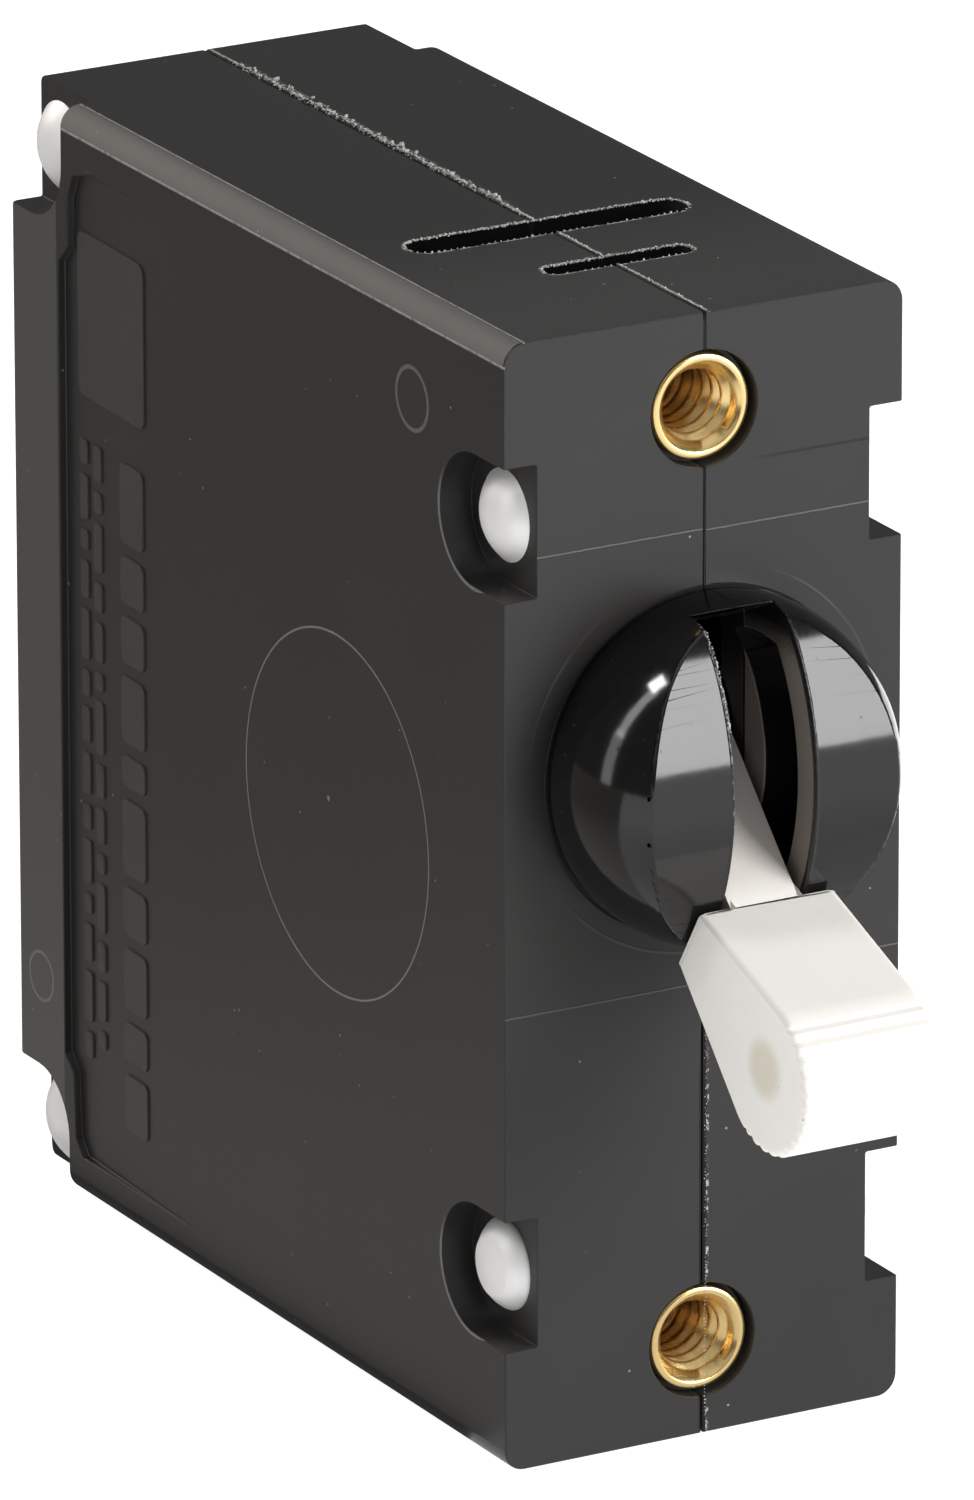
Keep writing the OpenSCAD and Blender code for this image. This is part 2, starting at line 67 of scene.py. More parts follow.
# Sizes shared with the part's own design, in millimetres
CASE_HALF_W, CASE_HALF_H, CASE_D, EDGE_R = 9.525, 24.84, 43.7, 0.95
PIVOT_Y, PIVOT_Z = 4.9, 5.3
BALL_R, BALL_OUT, BALL_FRONT_R, SHELL_T, CHEEK_R = 7.6, 1.3, 10.95, 1.66, 6.6
SLOT_W, SLOT_HALF_AT_FACE, SLOT_FLARE = 3.9, 6.25, 0.441
VENTS = ((0.2, 13.65, 5.75, 0.95), (0.45, 8.1, 2.95, 0.6))  # centre x, y, half run, radius
PANEL_Y, PANEL_RUN, PANEL_DEEP = 25.5, 13.0, 0.36
REAR_STRIP_Y = 39.5
HUB_WELL_R, HUB_WELL_HALF = 4.1, 3.3
INSERT_Z, INSERT_SINK, INSERT_LEN, INSERT_R = 20.6375, 0.3, 6.0, 2.3
FLANGE_R, FLANGE_Y0, FLANGE_Y1, BORE_END = 2.9, 3.0, 4.6, 5.25
THREAD_MINOR, THREAD_MAJOR, THREAD_PITCH, MOUTH_R = 1.4, 1.75, 0.794, 1.95
RIVET_FRONT_TOP, RIVET_FRONT_LOW = (2.6, 16.55), (2.6, -16.55)
RIVET_REAR_TOP, RIVET_REAR_LOW = (41.75, 22.1), (41.85, -22.55)
RIVET_SEAT_X, RIVET_R, RIVET_H, RIVET_SHANK_R, POCKET_R = 7.97, 2.0, 0.9, 1.2, 2.96
HANDLE_ANGLE, NECK_S, NECK_T, TIP_S, TIP_R = 213.0, 11.1, 1.62, 18.65, 3.4
PADDLE_HALF, TAPER = 3.25, 14.0


# ---- Shader sums ----

class Wire:
    """One socket of a node tree. Sums on wires add Math nodes."""

    def __init__(self, tree, socket=None):
        self.tree, self.socket = tree, socket

    def node(self, kind, settings=None, sockets=None, out=0):
        """Adds a node: its settings first, then a value or a wire for each named socket."""
        made = self.tree.nodes.new(kind)
        for key, value in (settings or {}).items():
            setattr(made, key, value)
        for key, value in (sockets or {}).items():
            if isinstance(value, Wire):
                self.tree.links.new(value.socket, made.inputs[key])
            else:
                made.inputs[key].default_value = value
        return Wire(self.tree, made.outputs[out])

    def math(self, operation, *values):
        return self.node("ShaderNodeMath", {"operation": operation}, dict(enumerate(values)))

    def __add__(self, other): return self.math("ADD", self, other)
    __radd__ = __add__
    def __sub__(self, other): return self.math("SUBTRACT", self, other)
    def __rsub__(self, other): return self.math("SUBTRACT", other, self)
    def __mul__(self, other): return self.math("MULTIPLY", self, other)
    def __pow__(self, other): return self.math("POWER", self, other)
    def __abs__(self): return self.math("ABSOLUTE", self)

    def below(self, edge, soft):
        """1 where the value is under edge, falling to 0 over soft."""
        return self.step(edge + soft, edge)

    def above(self, edge, soft):
        """1 where the value is over edge, falling to 0 over soft."""
        return self.step(edge - soft, edge)

    def step(self, zero, one):
        """0 where the value is at zero, easing to 1 where it is at one."""
        return self.node("ShaderNodeMapRange", {"interpolation_type": "SMOOTHSTEP"},
                         {0: self, 1: zero, 2: one, 3: 0.0, 4: 1.0})

    def either(self, other):
        """The larger of two values."""
        return self.math("MAXIMUM", self, other)

    def mix(self, low, high):
        """Two colours or colour wires mixed by this value."""
        low, high = (c if isinstance(c, Wire) else (*c, 1.0) for c in (low, high))
        return self.node("ShaderNodeMix", {"data_type": "RGBA"}, {0: self, 6: low, 7: high}, 2)


class Finish:
    """A material being made: its coordinates in millimetres and its shader."""

    def __init__(self, name, **constants):
        self.material = bpy.data.materials.new(name)
        self.material.use_nodes = True
        self.tree = self.material.node_tree
        self.shader = self.tree.nodes["Principled BSDF"]
        for key, value in constants.items():
            self.shader.inputs[key.replace("_", " ")].default_value = value
        self.start = Wire(self.tree)
        place = self.start.node("ShaderNodeTexCoord", out="Object")
        self.mm = self.start.node("ShaderNodeVectorMath", {"operation": "SCALE"},
                                  {0: place, "Scale": 1000.0})
        self.x, self.y, self.z = (
            self.start.node("ShaderNodeSeparateXYZ", sockets={0: self.mm}, out=i)
            for i in range(3))

    def noise(self, size, detail=2.0, rough=0.5, stretch=None):
        """Cloudy noise from 0 to 1, with blotches about size millimetres across."""
        where = self.mm
        if stretch:
            where = self.start.node("ShaderNodeMapping", sockets={0: where, "Scale": stretch})
        return self.start.node("ShaderNodeTexNoise", sockets={
            "Vector": where, "Scale": 1.0 / size, "Detail": detail, "Roughness": rough})

    def specks(self, size, amount):
        """Small round specks about size apart; amount is their radius as a part of it."""
        far = self.start.node("ShaderNodeTexVoronoi", {"feature": "F1"},
                              {"Vector": self.mm, "Scale": 1.0 / size}, out="Distance")
        return far.below(amount, amount * 0.4)

    def bump(self, *layers):
        """Stacks (height wire in 0..1, depth in mm) layers into the shader's normal."""
        normal = None
        for height, depth in layers:
            sockets = {"Height": height, "Distance": depth * MM, "Strength": 1.0}
            if normal:
                sockets["Normal"] = normal
            normal = self.start.node("ShaderNodeBump", sockets=sockets)
        self.feed("Normal", normal)

    def feed(self, socket, value):
        """Wires a value into one of the shader's sockets."""
        self.tree.links.new(value.socket, self.shader.inputs[socket])

    def line(self, value, at, half_width):
        """1 on the line where value equals at."""
        return abs(value - at).below(half_width * 0.5, half_width * 0.5)

    def reach(self, cy, cz):
        """The distance from a point of a side face."""
        dy, dz = self.y - cy, self.z - cz
        return (dy * dy + dz * dz) ** 0.5

    def ring(self, cy, cz, radius, half_width):
        """1 on a circle drawn on a side face."""
        return self.line(self.reach(cy, cz), radius, half_width)


# ---- Finishes ----

def case_moulding():
    """Dark warm thermoset: faint flow clouds, fine grain, witness lines and chipped seams, with painted highlights
    on the pocket rims and corner edges, painted shade in the vents and a painted lighter front of the top face.
    """
    f = Finish("case_moulding", IOR=1.48)
    x, y, z = f.x, f.y, f.z
    clouds = f.noise(9.0, 3.0, 0.6)
    grain = f.noise(0.22, 3.0, 0.6)
    torn = f.noise(0.32, 4.0, 0.75)
    dust = f.specks(1.3, 0.035) * f.noise(7.0).above(0.54, 0.08)

    front = y.below(0.02, 0.05)
    left = x.below(0.035 - CASE_HALF_W, 0.02)
    top = z.above(CASE_HALF_H - 0.02, 0.03)
    wavy = z + torn * 0.09
    upper_line = f.line(wavy + x.above(0.0, 0.01) * 0.06, 15.44, 0.06)
    lower_line = f.line(wavy - x.above(0.0, 0.01) * 0.08, -4.56, 0.06)
    foot_z = z - PIVOT_Z
    foot_ring = f.line((x * x + foot_z * foot_z) ** 0.5, 8.45, 0.08) * clouds.step(0.42, 0.62)
    front_lines = upper_line.either(lower_line).either(foot_ring * 0.4) * front
    core_line = f.line(z, 18.1, 0.09) * x.step(1.5, 4.0) * front

    witness = f.ring(14.5, 0.1, 8.0, 0.06)
    gate_dot = f.ring(15.2, 0.6, 0.0, 0.16)
    pin_marks = f.ring(7.8, 20.4, 1.35, 0.12).either(f.ring(41.5, -15.6, 1.1, 0.1)) * 0.6
    # Painted highlights: pale lines on the lower halves of the front rivet pockets' rims, where light catches
    # them.
    rims, low_rim_highlights = (f.ring(*spot, POCKET_R, 0.1) * z.below(spot[1], 2.0)
                      for spot in (RIVET_FRONT_TOP, RIVET_FRONT_LOW))
    side_marks_and_rim_highlights = witness.either(gate_dot).either(pin_marks).either(rims.either(low_rim_highlights)) * left
    # Pale lines along both edges of the long corner round: painted highlights, broken up like worn chips.
    edge_wear_and_highlights = f.line(z, CASE_HALF_H - EDGE_R - 0.02, 0.07) * left
    top_edge_wear_and_highlight = f.line(x, EDGE_R - CASE_HALF_W + 0.015, 0.06) * top
    edge_wear_and_highlights = edge_wear_and_highlights.either(top_edge_wear_and_highlight) * torn.step(0.25, 0.55)
    rear_strip = y.above(REAR_STRIP_Y, 0.1) * left

    seam = abs(x + (torn - 0.5) * 0.08)
    rough_part = y.step(15.5, 20.0) * y.step(41.5, 38.0) * top
    low_seam = z.step(-6.0, -9.0) * front
    seam_dark = seam.below(0.055 + rough_part * torn * 0.22 + low_seam * 0.09 + top * 0.03, 0.03)
    seam_dark = seam_dark * top.either(front)
    flakes = x.step(0.05, 0.12) * x.step(0.6, 0.25) * torn.above(0.52, 0.05) * rough_part
    lip = x.step(0.08, 0.12) * x.step(0.3, 0.2) * torn.above(0.44, 0.08) * top
    seam_specks = f.line(x, 0.2, 0.12) * torn.above(0.56, 0.04) * low_seam
    vent_rims, inside = [], []
    for centre_x, centre_y, half, r in VENTS:
        past = (abs(x - centre_x) - half).either(0.0)
        across = y - centre_y
        away = (past * past + across * across) ** 0.5 - r
        vent_rims.append(f.line(away, 0.06, 0.12) * torn.above(0.5, 0.06) * top)
        inside.append(away.below(0.0, 0.03))
    rim_chips = vent_rims[0].either(vent_rims[1])
    # Painted shade: the vents' insides are coloured near black.
    vents = inside[0].either(inside[1]) * z.below(CASE_HALF_H - 0.06, 0.04) * z.above(22.0, 0.5)

    chips = flakes.either(lip).either(seam_specks).either(rim_chips) * (1.0 - seam_dark)
    marks = (front_lines * 0.2).either(side_marks_and_rim_highlights * 0.5).either(edge_wear_and_highlights * 0.9)
    pale = marks.either(dust * 0.6).either(chips)
    base = clouds.mix((0.0115, 0.0108, 0.0104), (0.0165, 0.0157, 0.0151))
    base = rear_strip.mix(base, (0.05, 0.0475, 0.0445))
    # Painted light: the front of the top face is coloured lighter than its rear.
    base = (y.step(17.0, 4.0) * top).mix(base, (0.027, 0.0262, 0.0255))
    base = pale.mix(base, (0.24, 0.232, 0.222))
    # Near black: the dark seams, the painted shade in the vents and the core line.
    dark = seam_dark.either(vents).either(core_line * 0.6)
    base = dark.mix(base, (0.001, 0.001, 0.001))
    f.feed("Base Color", base)
    rough = 0.31 + clouds * 0.08 + grain * 0.05 + chips * 0.2 + vents * 0.4
    f.feed("Roughness", rough)
    f.bump((grain, 0.004), (clouds, 0.02), (front_lines.either(side_marks_and_rim_highlights), 0.03),
           (1.0 - seam_dark, 0.09), (chips * torn, 0.06))
    return f.material


def relief_moulding():
    """The raised parts of the label panel, left matt by the tool."""
    f = Finish("relief_moulding", IOR=1.48)
    grain = f.noise(0.12, 3.0, 0.7)
    clouds = f.noise(3.0, 2.0)
    f.feed("Base Color", clouds.mix((0.024, 0.0232, 0.0212), (0.033, 0.0318, 0.029)))
    f.feed("Roughness", 0.4 + grain * 0.12)
    f.bump((grain, 0.01))
    return f.material


def torn_moulding():
    """Broken moulding: pale, dry crumbs along the seams and rims."""
    f = Finish("torn_moulding", IOR=1.48)
    tone = f.noise(0.25, 2.0)
    f.feed("Base Color", tone.mix((0.2, 0.195, 0.19), (0.66, 0.65, 0.63)))
    f.feed("Roughness", 0.5 + tone * 0.2)
    f.bump((f.noise(0.05), 0.004))
    return f.material


def ball_moulding():
    """The same moulding polished on the ball, with faint rub marks, torn slot edges and painted light on the
    slot's inner walls.
    """
    f = Finish("ball_moulding", IOR=1.5)
    swirl = f.noise(2.2, 3.0, 0.6)
    pits = f.specks(0.7, 0.06) * f.noise(2.5).above(0.55, 0.1)
    torn = f.noise(0.4, 4.0, 0.7)
    up = f.z - PIVOT_Z
    outside = f.reach(PIVOT_Y, PIVOT_Z).above(BALL_FRONT_R - 0.22, 0.15)
    edge = abs(abs(f.x) - SLOT_W / 2).below(0.05, 0.12) * outside
    chips = edge * torn.above(0.56, 0.06) * up.above(1.0, 3.0) * f.x.below(0.0, 0.1)
    in_slot = abs(f.x).below(SLOT_W / 2 + 0.03, 0.03) * (1.0 - outside)
    in_slot = in_slot * up.step(6.6, 4.6)
    in_slot = in_slot * (abs(up) + f.y * SLOT_FLARE).below(SLOT_HALF_AT_FACE + 0.06, 0.05)
    # Painted light: the slot's inner walls are coloured a light brown-grey, far lighter than the polished moulding
    # outside.
    base = in_slot.mix((0.0065, 0.0062, 0.006), (0.17, 0.15, 0.13))
    f.feed("Base Color", chips.mix(base, (0.2, 0.195, 0.19)))
    f.feed("Roughness", 0.07 + swirl * 0.06 + pits * 0.12 + chips * 0.4 + in_slot * 0.3)
    f.bump((swirl, 0.006), (1.0 - pits, 0.008), (torn * edge, 0.05))
    return f.material


def handle_moulding():
    """Warm white moulding, satin, with a beige gate mark on the left cheek and painted shade near the pivot."""
    f = Finish("handle_moulding", IOR=1.5, Specular_IOR_Level=0.4,
               Subsurface_Weight=0.08, Subsurface_Scale=0.0008)
    clouds = f.noise(4.0, 2.0)
    grain = f.noise(0.12, 2.0)
    spot = f.reach(-10.7, -4.5).below(0.75, 0.9) * f.x.below(-3.0, 0.1)
    speck = f.specks(1.9, 0.018)
    base = clouds.mix((0.79, 0.767, 0.728), (0.83, 0.811, 0.776))
    # Painted shade: the stem and hub are coloured greyer near the pivot, deep in the ball's slot.
    deep = f.reach(PIVOT_Y, PIVOT_Z).below(9.6, 2.2)
    base = deep.mix(base, (0.6, 0.565, 0.53))
    base = (spot * 0.7).mix(base, (0.6, 0.55, 0.42))
    f.feed("Base Color", speck.mix(base, (0.4, 0.36, 0.33)))
    f.feed("Roughness", 0.42 + grain * 0.12)
    f.bump((grain, 0.004), (clouds, 0.01))
    return f.material


def rivet_aluminium():
    """Satin cold-headed aluminium with a fine tumbled texture."""
    f = Finish("rivet_aluminium")
    tumbled = f.noise(0.14, 3.0, 0.6)
    clouds = f.noise(1.6, 2.0)
    f.feed("Base Color", clouds.mix((0.9, 0.893, 0.88), (0.95, 0.945, 0.935)))
    f.feed("Metallic", 0.5 + clouds * 0.12)
    f.feed("Roughness", 0.42 + tumbled * 0.14)
    f.bump((tumbled, 0.006))
    return f.material


def insert_brass():
    """Turned brass, bright on the rim and darker down the thread."""
    f = Finish("insert_brass")
    dz = abs(f.z) - INSERT_Z
    radius = (f.x * f.x + dz * dz) ** 0.5
    turning = f.start.node("ShaderNodeTexNoise", {"noise_dimensions": "1D"},
                           {"W": radius * 14.0 + f.y * 9.0, "Scale": 1.0, "Detail": 2.0})
    inner = radius.below(1.9, 0.1)
    depth = f.y.step(0.9, 4.0) * inner
    base = turning.mix((0.78, 0.55, 0.22), (0.9, 0.68, 0.33))
    f.feed("Base Color", (depth * 0.75).mix(base, (0.32, 0.17, 0.06)))
    f.feed("Metallic", 0.95 + turning * 0.05)
    f.feed("Roughness", 0.2 + turning * 0.12)
    f.bump((turning * (1.0 - inner), 0.004))
    return f.material


def metal(name, low, high, rough, grain_mm, stretch=None):
    """A metal with a grain, for the works inside the case and the terminals."""
    f = Finish(name)
    grain = f.noise(grain_mm, 3.0, 0.6, stretch)
    clouds = f.noise(grain_mm * 12, 2.0)
    f.feed("Base Color", clouds.mix(low, high))
    f.feed("Metallic", 0.94 + clouds * 0.06)
    f.feed("Roughness", rough + grain * 0.14)
    f.bump((grain, 0.003))
    return f.material


def moulded(name, low, high, rough, grain_mm, depth=0.006):
    """A dull moulded or pressed material with a fine grain."""
    f = Finish(name, IOR=1.5)
    grain = f.noise(grain_mm, 4.0, 0.65)
    clouds = f.noise(grain_mm * 10, 2.0)
    f.feed("Base Color", clouds.mix(low, high))
    f.feed("Roughness", rough + grain * 0.15)
    f.bump((grain, depth))
    return f.material


def enamelled_wire():
    """Copper winding wire under a clear brown varnish."""
    f = Finish("enamelled_wire", Coat_Roughness=0.08)
    clouds = f.noise(1.5, 3.0)
    f.feed("Base Color", clouds.mix((0.32, 0.1, 0.03), (0.45, 0.16, 0.05)))
    f.feed("Metallic", 0.6 + clouds * 0.2)
    f.feed("Roughness", 0.3 + clouds * 0.1)
    f.feed("Coat Weight", 0.8 + clouds * 0.2)
    f.bump((f.noise(0.2), 0.003))
    return f.material


# Darker and lighter colour, least roughness, grain in millimetres, then stretch or bump depth
METALS = {
    "pin_steel": ((0.5, 0.5, 0.5), (0.62, 0.62, 0.61), 0.2, 0.1, (0.2, 1, 1)),
    "spring_steel": ((0.36, 0.36, 0.36), (0.5, 0.5, 0.49), 0.28, 0.15),
    "plated_steel": ((0.6, 0.6, 0.58), (0.72, 0.71, 0.68), 0.26, 0.3),
    "copper_alloy": ((0.66, 0.33, 0.19), (0.78, 0.45, 0.28), 0.3, 0.2, (1, 0.3, 1)),
    "contact_silver": ((0.8, 0.79, 0.77), (0.88, 0.87, 0.85), 0.22, 0.12),
    "terminal_brass": ((0.66, 0.5, 0.24), (0.8, 0.64, 0.34), 0.28, 0.25, (1, 1, 0.3)),
    "tube_brass": ((0.66, 0.53, 0.3), (0.78, 0.64, 0.38), 0.26, 0.2, (1, 0.2, 1)),
}
MOULDINGS = {
    "pressed_fibre": ((0.22, 0.06, 0.045), (0.3, 0.09, 0.065), 0.6, 0.3, 0.02),
    "bobbin_nylon": ((0.68, 0.64, 0.52), (0.78, 0.74, 0.63), 0.45, 0.25),
    "lever_moulding": ((0.42, 0.35, 0.22), (0.52, 0.45, 0.3), 0.5, 0.3),
}
FINISHES = {make.__name__: make() for make in (
    case_moulding, relief_moulding, torn_moulding, ball_moulding, handle_moulding,
    rivet_aluminium, insert_brass, enamelled_wire)}
FINISHES |= {name: metal(name, *look) for name, look in METALS.items()}
FINISHES |= {name: moulded(name, *look) for name, look in MOULDINGS.items()}


# ---- Mesh tools ----

def put(name, mesh, finish):
    """A mesh made into a scene object with one finish."""
    piece = bpy.data.objects.new(name, mesh)
    scene.collection.objects.link(piece)
    mesh.materials.clear()
    mesh.materials.append(FINISHES[finish])
    return piece


def merged_copy(node, name, finish):
    """A CAD node's mesh, copied and welded, with its flat areas made single faces."""
    mesh = frame["nodes"][node].data.copy()
    piece = put(name, mesh, finish)
    bm = bmesh.new()
    bm.from_mesh(mesh)
    bmesh.ops.remove_doubles(bm, verts=bm.verts, dist=0.002 * MM)
    bmesh.ops.dissolve_limit(bm, angle_limit=math.radians(0.2), verts=bm.verts, edges=bm.edges)
    bm.to_mesh(mesh)
    bm.free()
    return piece


def plain_mesh(bm, name):
    """A mesh from a bmesh that is used up."""
    mesh = bpy.data.meshes.new(name)
    bm.to_mesh(mesh)
    bm.free()
    return mesh


def closed(bm, name, finish="case_moulding"):
    """Ends a bmesh: doubles merged, normals outwards, sizes from millimetres to metres."""
    bmesh.ops.remove_doubles(bm, verts=bm.verts, dist=1e-5)
    bmesh.ops.recalc_face_normals(bm, faces=bm.faces)
    bmesh.ops.scale(bm, vec=(MM, MM, MM), verts=bm.verts)
    return put(name, plain_mesh(bm, name), finish)


def skin(bm, loops):
    """Joins each loop of points to the next with a band of four-sided faces."""
    for a, b in zip(loops, loops[1:]):
        for i in range(len(a)):
            j = (i + 1) % len(a)
            bm.faces.new((a[i], a[j], b[j], b[i]))


def prism(name, outline, x0, x1, lean=None):
    """A closed (y, z) outline pushed along X; lean(y, z) gives the near end its own x."""
    bm = bmesh.new()
    ends = []
    for x in (x0, x1):
        ends.append([bm.verts.new((lean(y, z) if lean and x == x0 else x, y, z))
                     for y, z in outline])
    count = len(outline)
    bm.faces.new(ends[0])
    bm.faces.new(list(reversed(ends[1])))
    for i in range(count):
        j = (i + 1) % count
        bm.faces.new((ends[0][i], ends[1][i], ends[1][j], ends[0][j]))
    return closed(bm, name)


def circle(cy, cz, r, steps, start=0.0, end=360.0):
    """Points of an arc in (y, z)."""
    turn = math.radians(end - start)
    whole = end - start >= 360.0
    return [(cy + r * math.cos(math.radians(start) + turn * i / steps),
             cz + r * math.sin(math.radians(start) + turn * i / steps))
            for i in range(steps if whole else steps + 1)]


def turned(bm, profile, steps, to_place):
    """Turns a (radius, depth) profile round; to_place(r cos, r sin, depth) sets each point."""
    rings = []
    for r, d in profile:
        if r < 1e-6:
            rings.append([bm.verts.new(to_place(0.0, 0.0, d))])
        else:
            rings.append([bm.verts.new(to_place(r * math.cos(math.tau * i / steps),
                                                r * math.sin(math.tau * i / steps), d))
                          for i in range(steps)])
    for a, b in zip(rings, rings[1:]):
        for i in range(steps):
            j = (i + 1) % steps
            corners = [a[i % len(a)], a[j % len(a)], b[j % len(b)], b[i % len(b)]]
            corners = list(dict.fromkeys(corners))
            if len(corners) > 2:
                bm.faces.new(corners)


def carve(piece, tool, operation="DIFFERENCE"):
    """A boolean with a tool that is used up."""
    cut = piece.modifiers.new("cut", "BOOLEAN")
    cut.operation, cut.solver, cut.object = operation, "EXACT", tool
    settle(piece)
    bpy.data.objects.remove(tool)
    return piece


def settle(piece):
    """Turns a piece and its modifiers into a plain mesh."""
    bpy.context.view_layer.update()
    seen = piece.evaluated_get(bpy.context.evaluated_depsgraph_get())
    mesh = bpy.data.meshes.new_from_object(seen)
    piece.modifiers.clear()
    piece.data = mesh
    return piece


def ease_edges(piece, width, segments=2, sharp=30.0, smooth=32.0):
    """Small rounds on the sharp edges, then smooth shading up to the smooth angle."""
    bevel = piece.modifiers.new("edges", "BEVEL")
    bevel.width, bevel.segments, bevel.limit_method = width * MM, segments, "ANGLE"
    bevel.angle_limit = math.radians(sharp)
    bevel.use_clamp_overlap = False
    bevel.miter_outer = "MITER_ARC"
    settle(piece)
    return shade_soft(piece, smooth)


def smooth_up_to(mesh, angle):
    """Smooth shading across the edges that turn less than an angle."""
    mesh.polygons.foreach_set("use_smooth", [True] * len(mesh.polygons))
    mesh.set_sharp_from_angle(angle=math.radians(angle))


def shade_soft(piece, angle):
    """Smooth shading up to an angle, with large faces kept flat by weighted normals."""
    smooth_up_to(piece.data, angle)
    even = piece.modifiers.new("even", "WEIGHTED_NORMAL")
    even.keep_sharp, even.weight = True, 50
    return settle(piece)


def fit(piece, body, slot, *nodes):
    """Hangs a finished piece on its body and hides the nodes it stands for; its slot is not used."""
    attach(piece, body)
    if nodes:
        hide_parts(*nodes)
    return piece


def ball_shape(bm, r):
    """A sphere about the ball's centre with its poles on X."""
    steps = 96
    profile = [(r * math.sin(math.pi * i / steps), -r * math.cos(math.pi * i / steps))
               for i in range(steps + 1)]
    turned(bm, profile, 160, lambda a, b, d: (d, a - BALL_OUT, b + PIVOT_Z))


# ---- Case ----

def panel_x(y):
    """The half width of the case at the floor of its label panels, which sink towards the rear."""
    return CASE_HALF_W - PANEL_DEEP * (y - PANEL_Y) / PANEL_RUN


def label_recess(side):
    """The sunk label panel of a side face: it starts flush in front and ends in a step."""
    outline = [(PANEL_Y, 22.5), (36.2, 22.5), (37.9, 22.0), (38.4, 20.9), (38.5, 18.6),
               (39.3, 17.8), (39.4, -18.5), (38.6, -19.2), (38.45, -22.2), (37.8, -22.9),
               (PANEL_Y, -22.9)]

    def floor(y, z):
        return side * (panel_x(y) + (0.02 if y == PANEL_Y else 0.0))

    return prism("label_tool", outline, 0.0, side * (CASE_HALF_W + 1.0), floor)


def soften_rear(piece):
    """Rounds the outer corners of the rear face more than the rest of the case."""
    rear, side_x, end_z, round_r = CASE_D - 0.05, 8.4, 24.7, 0.35
    bm = bmesh.new()
    bm.from_mesh(piece.data)
    edges = [e for e in bm.edges
             if all(v.co.y > rear * MM for v in e.verts)
             and all(abs(v.co.x) > side_x * MM or abs(v.co.z) > end_z * MM for v in e.verts)
             and len(e.link_faces) == 2 and e.calc_face_angle(0.0) > 1.0]
    bmesh.ops.bevel(bm, geom=edges, offset=round_r * MM, segments=4, profile=0.5,
                    affect="EDGES", clamp_overlap=True)
    bm.to_mesh(piece.data)
    bm.free()
    return piece


def case_shell(node, side):
    """One case half with its ball cut off, its label panel sunk and its edges eased."""
    piece = merged_copy(node, node + "_shell", "case_moulding")
    bm = bmesh.new()
    turned(bm, [(0.0, -12.0), (BALL_R, -12.0), (BALL_R, 0.05), (0.0, 0.05)], 128,
           lambda a, b, d: (a, d, b + PIVOT_Z))
    carve(piece, closed(bm, "ball_tool"))
    carve(piece, label_recess(side))
    for tool in seam_grooves(side):
        carve(piece, tool)
    soften_rear(piece)
    return band_normals(ease_edges(piece, 0.07))


def seam_grooves(side):
    """Wedges that open the seam: fine near the front of the top, wider behind and low in front."""
    deep, past = 0.5, 0.2
    foot = CASE_HALF_H - deep
    tools = []
    for y0, y1, wide in ((-1.0, 15.2, 0.03), (15.2, 45.0, 0.07)):
        outline = [(y0, foot), (y1, foot), (y1, CASE_HALF_H + past), (y0, CASE_HALF_H + past)]
        tools.append(prism("seam_tool", outline, 0.0, -side,
                           lean=lambda y, z, wide=wide: side * wide * (z - foot) / deep))
    outline = [(deep, -26.0), (-past, -26.0), (-past, -6.0), (deep, -6.0)]
    tools.append(prism("seam_tool", outline, 0.0, -side,
                       lean=lambda y, z: side * 0.05 * (deep - y) / deep))
    return tools


def band_normals(piece):
    """Leans the normals of the long corner rounds to their middles, so each reads as one band."""
    mesh = piece.data
    flatten = 0.3
    middle_x, middle_z = CASE_HALF_W - EDGE_R, CASE_HALF_H - EDGE_R
    normals = [tuple(n.vector) for n in mesh.corner_normals]
    for face in mesh.polygons:
        at, way = face.center / MM, face.normal
        outward = way.x * math.copysign(1, at.x) + way.z * math.copysign(1, at.z)
        if abs(at.x) < middle_x or abs(at.z) < middle_z or abs(way.y) > 0.2 or outward < 0.5:
            continue
        for corner in face.loop_indices:
            at = mesh.vertices[mesh.loops[corner].vertex_index].co / MM
            turn = math.atan2(max(abs(at.x) - middle_x, 0.0), max(abs(at.z) - middle_z, 0.0))
            turn = math.pi / 4 + (turn - math.pi / 4) * flatten
            normals[corner] = (math.copysign(math.sin(turn), at.x), 0.0,
                               math.copysign(math.cos(turn), at.z))
    mesh.normals_split_custom_set(normals)
    return piece


def true_normals(piece):
    """Gives the ball the normals of its sphere and its turned front, blended on the rounds."""
    mesh = piece.data
    middle = Vector((0.0, -BALL_OUT * MM, PIVOT_Z * MM))
    axis = Vector((0.0, PIVOT_Y * MM, PIVOT_Z * MM))
    near = 0.004 * MM
    own = []
    for v in mesh.vertices:
        out = v.co - middle
        flat = Vector((0.0, v.co.y - axis.y, v.co.z - axis.z))
        found = []
        if abs(out.length - BALL_R * MM) < near:
            found.append(out.normalized())
        if abs(flat.length - BALL_FRONT_R * MM) < near:
            found.append(flat.normalized())
        own.append(found)
    normals = [tuple(n.vector) for n in mesh.corner_normals]
    for face in mesh.polygons:
        for corner in face.loop_indices:
            near_ones = own[mesh.loops[corner].vertex_index]
            fits = [n for n in near_ones if n.dot(face.normal) > 0.55]
            if fits:
                normals[corner] = tuple(max(fits, key=lambda n: n.dot(face.normal)))
    mesh.normals_split_custom_set(normals)
    return piece


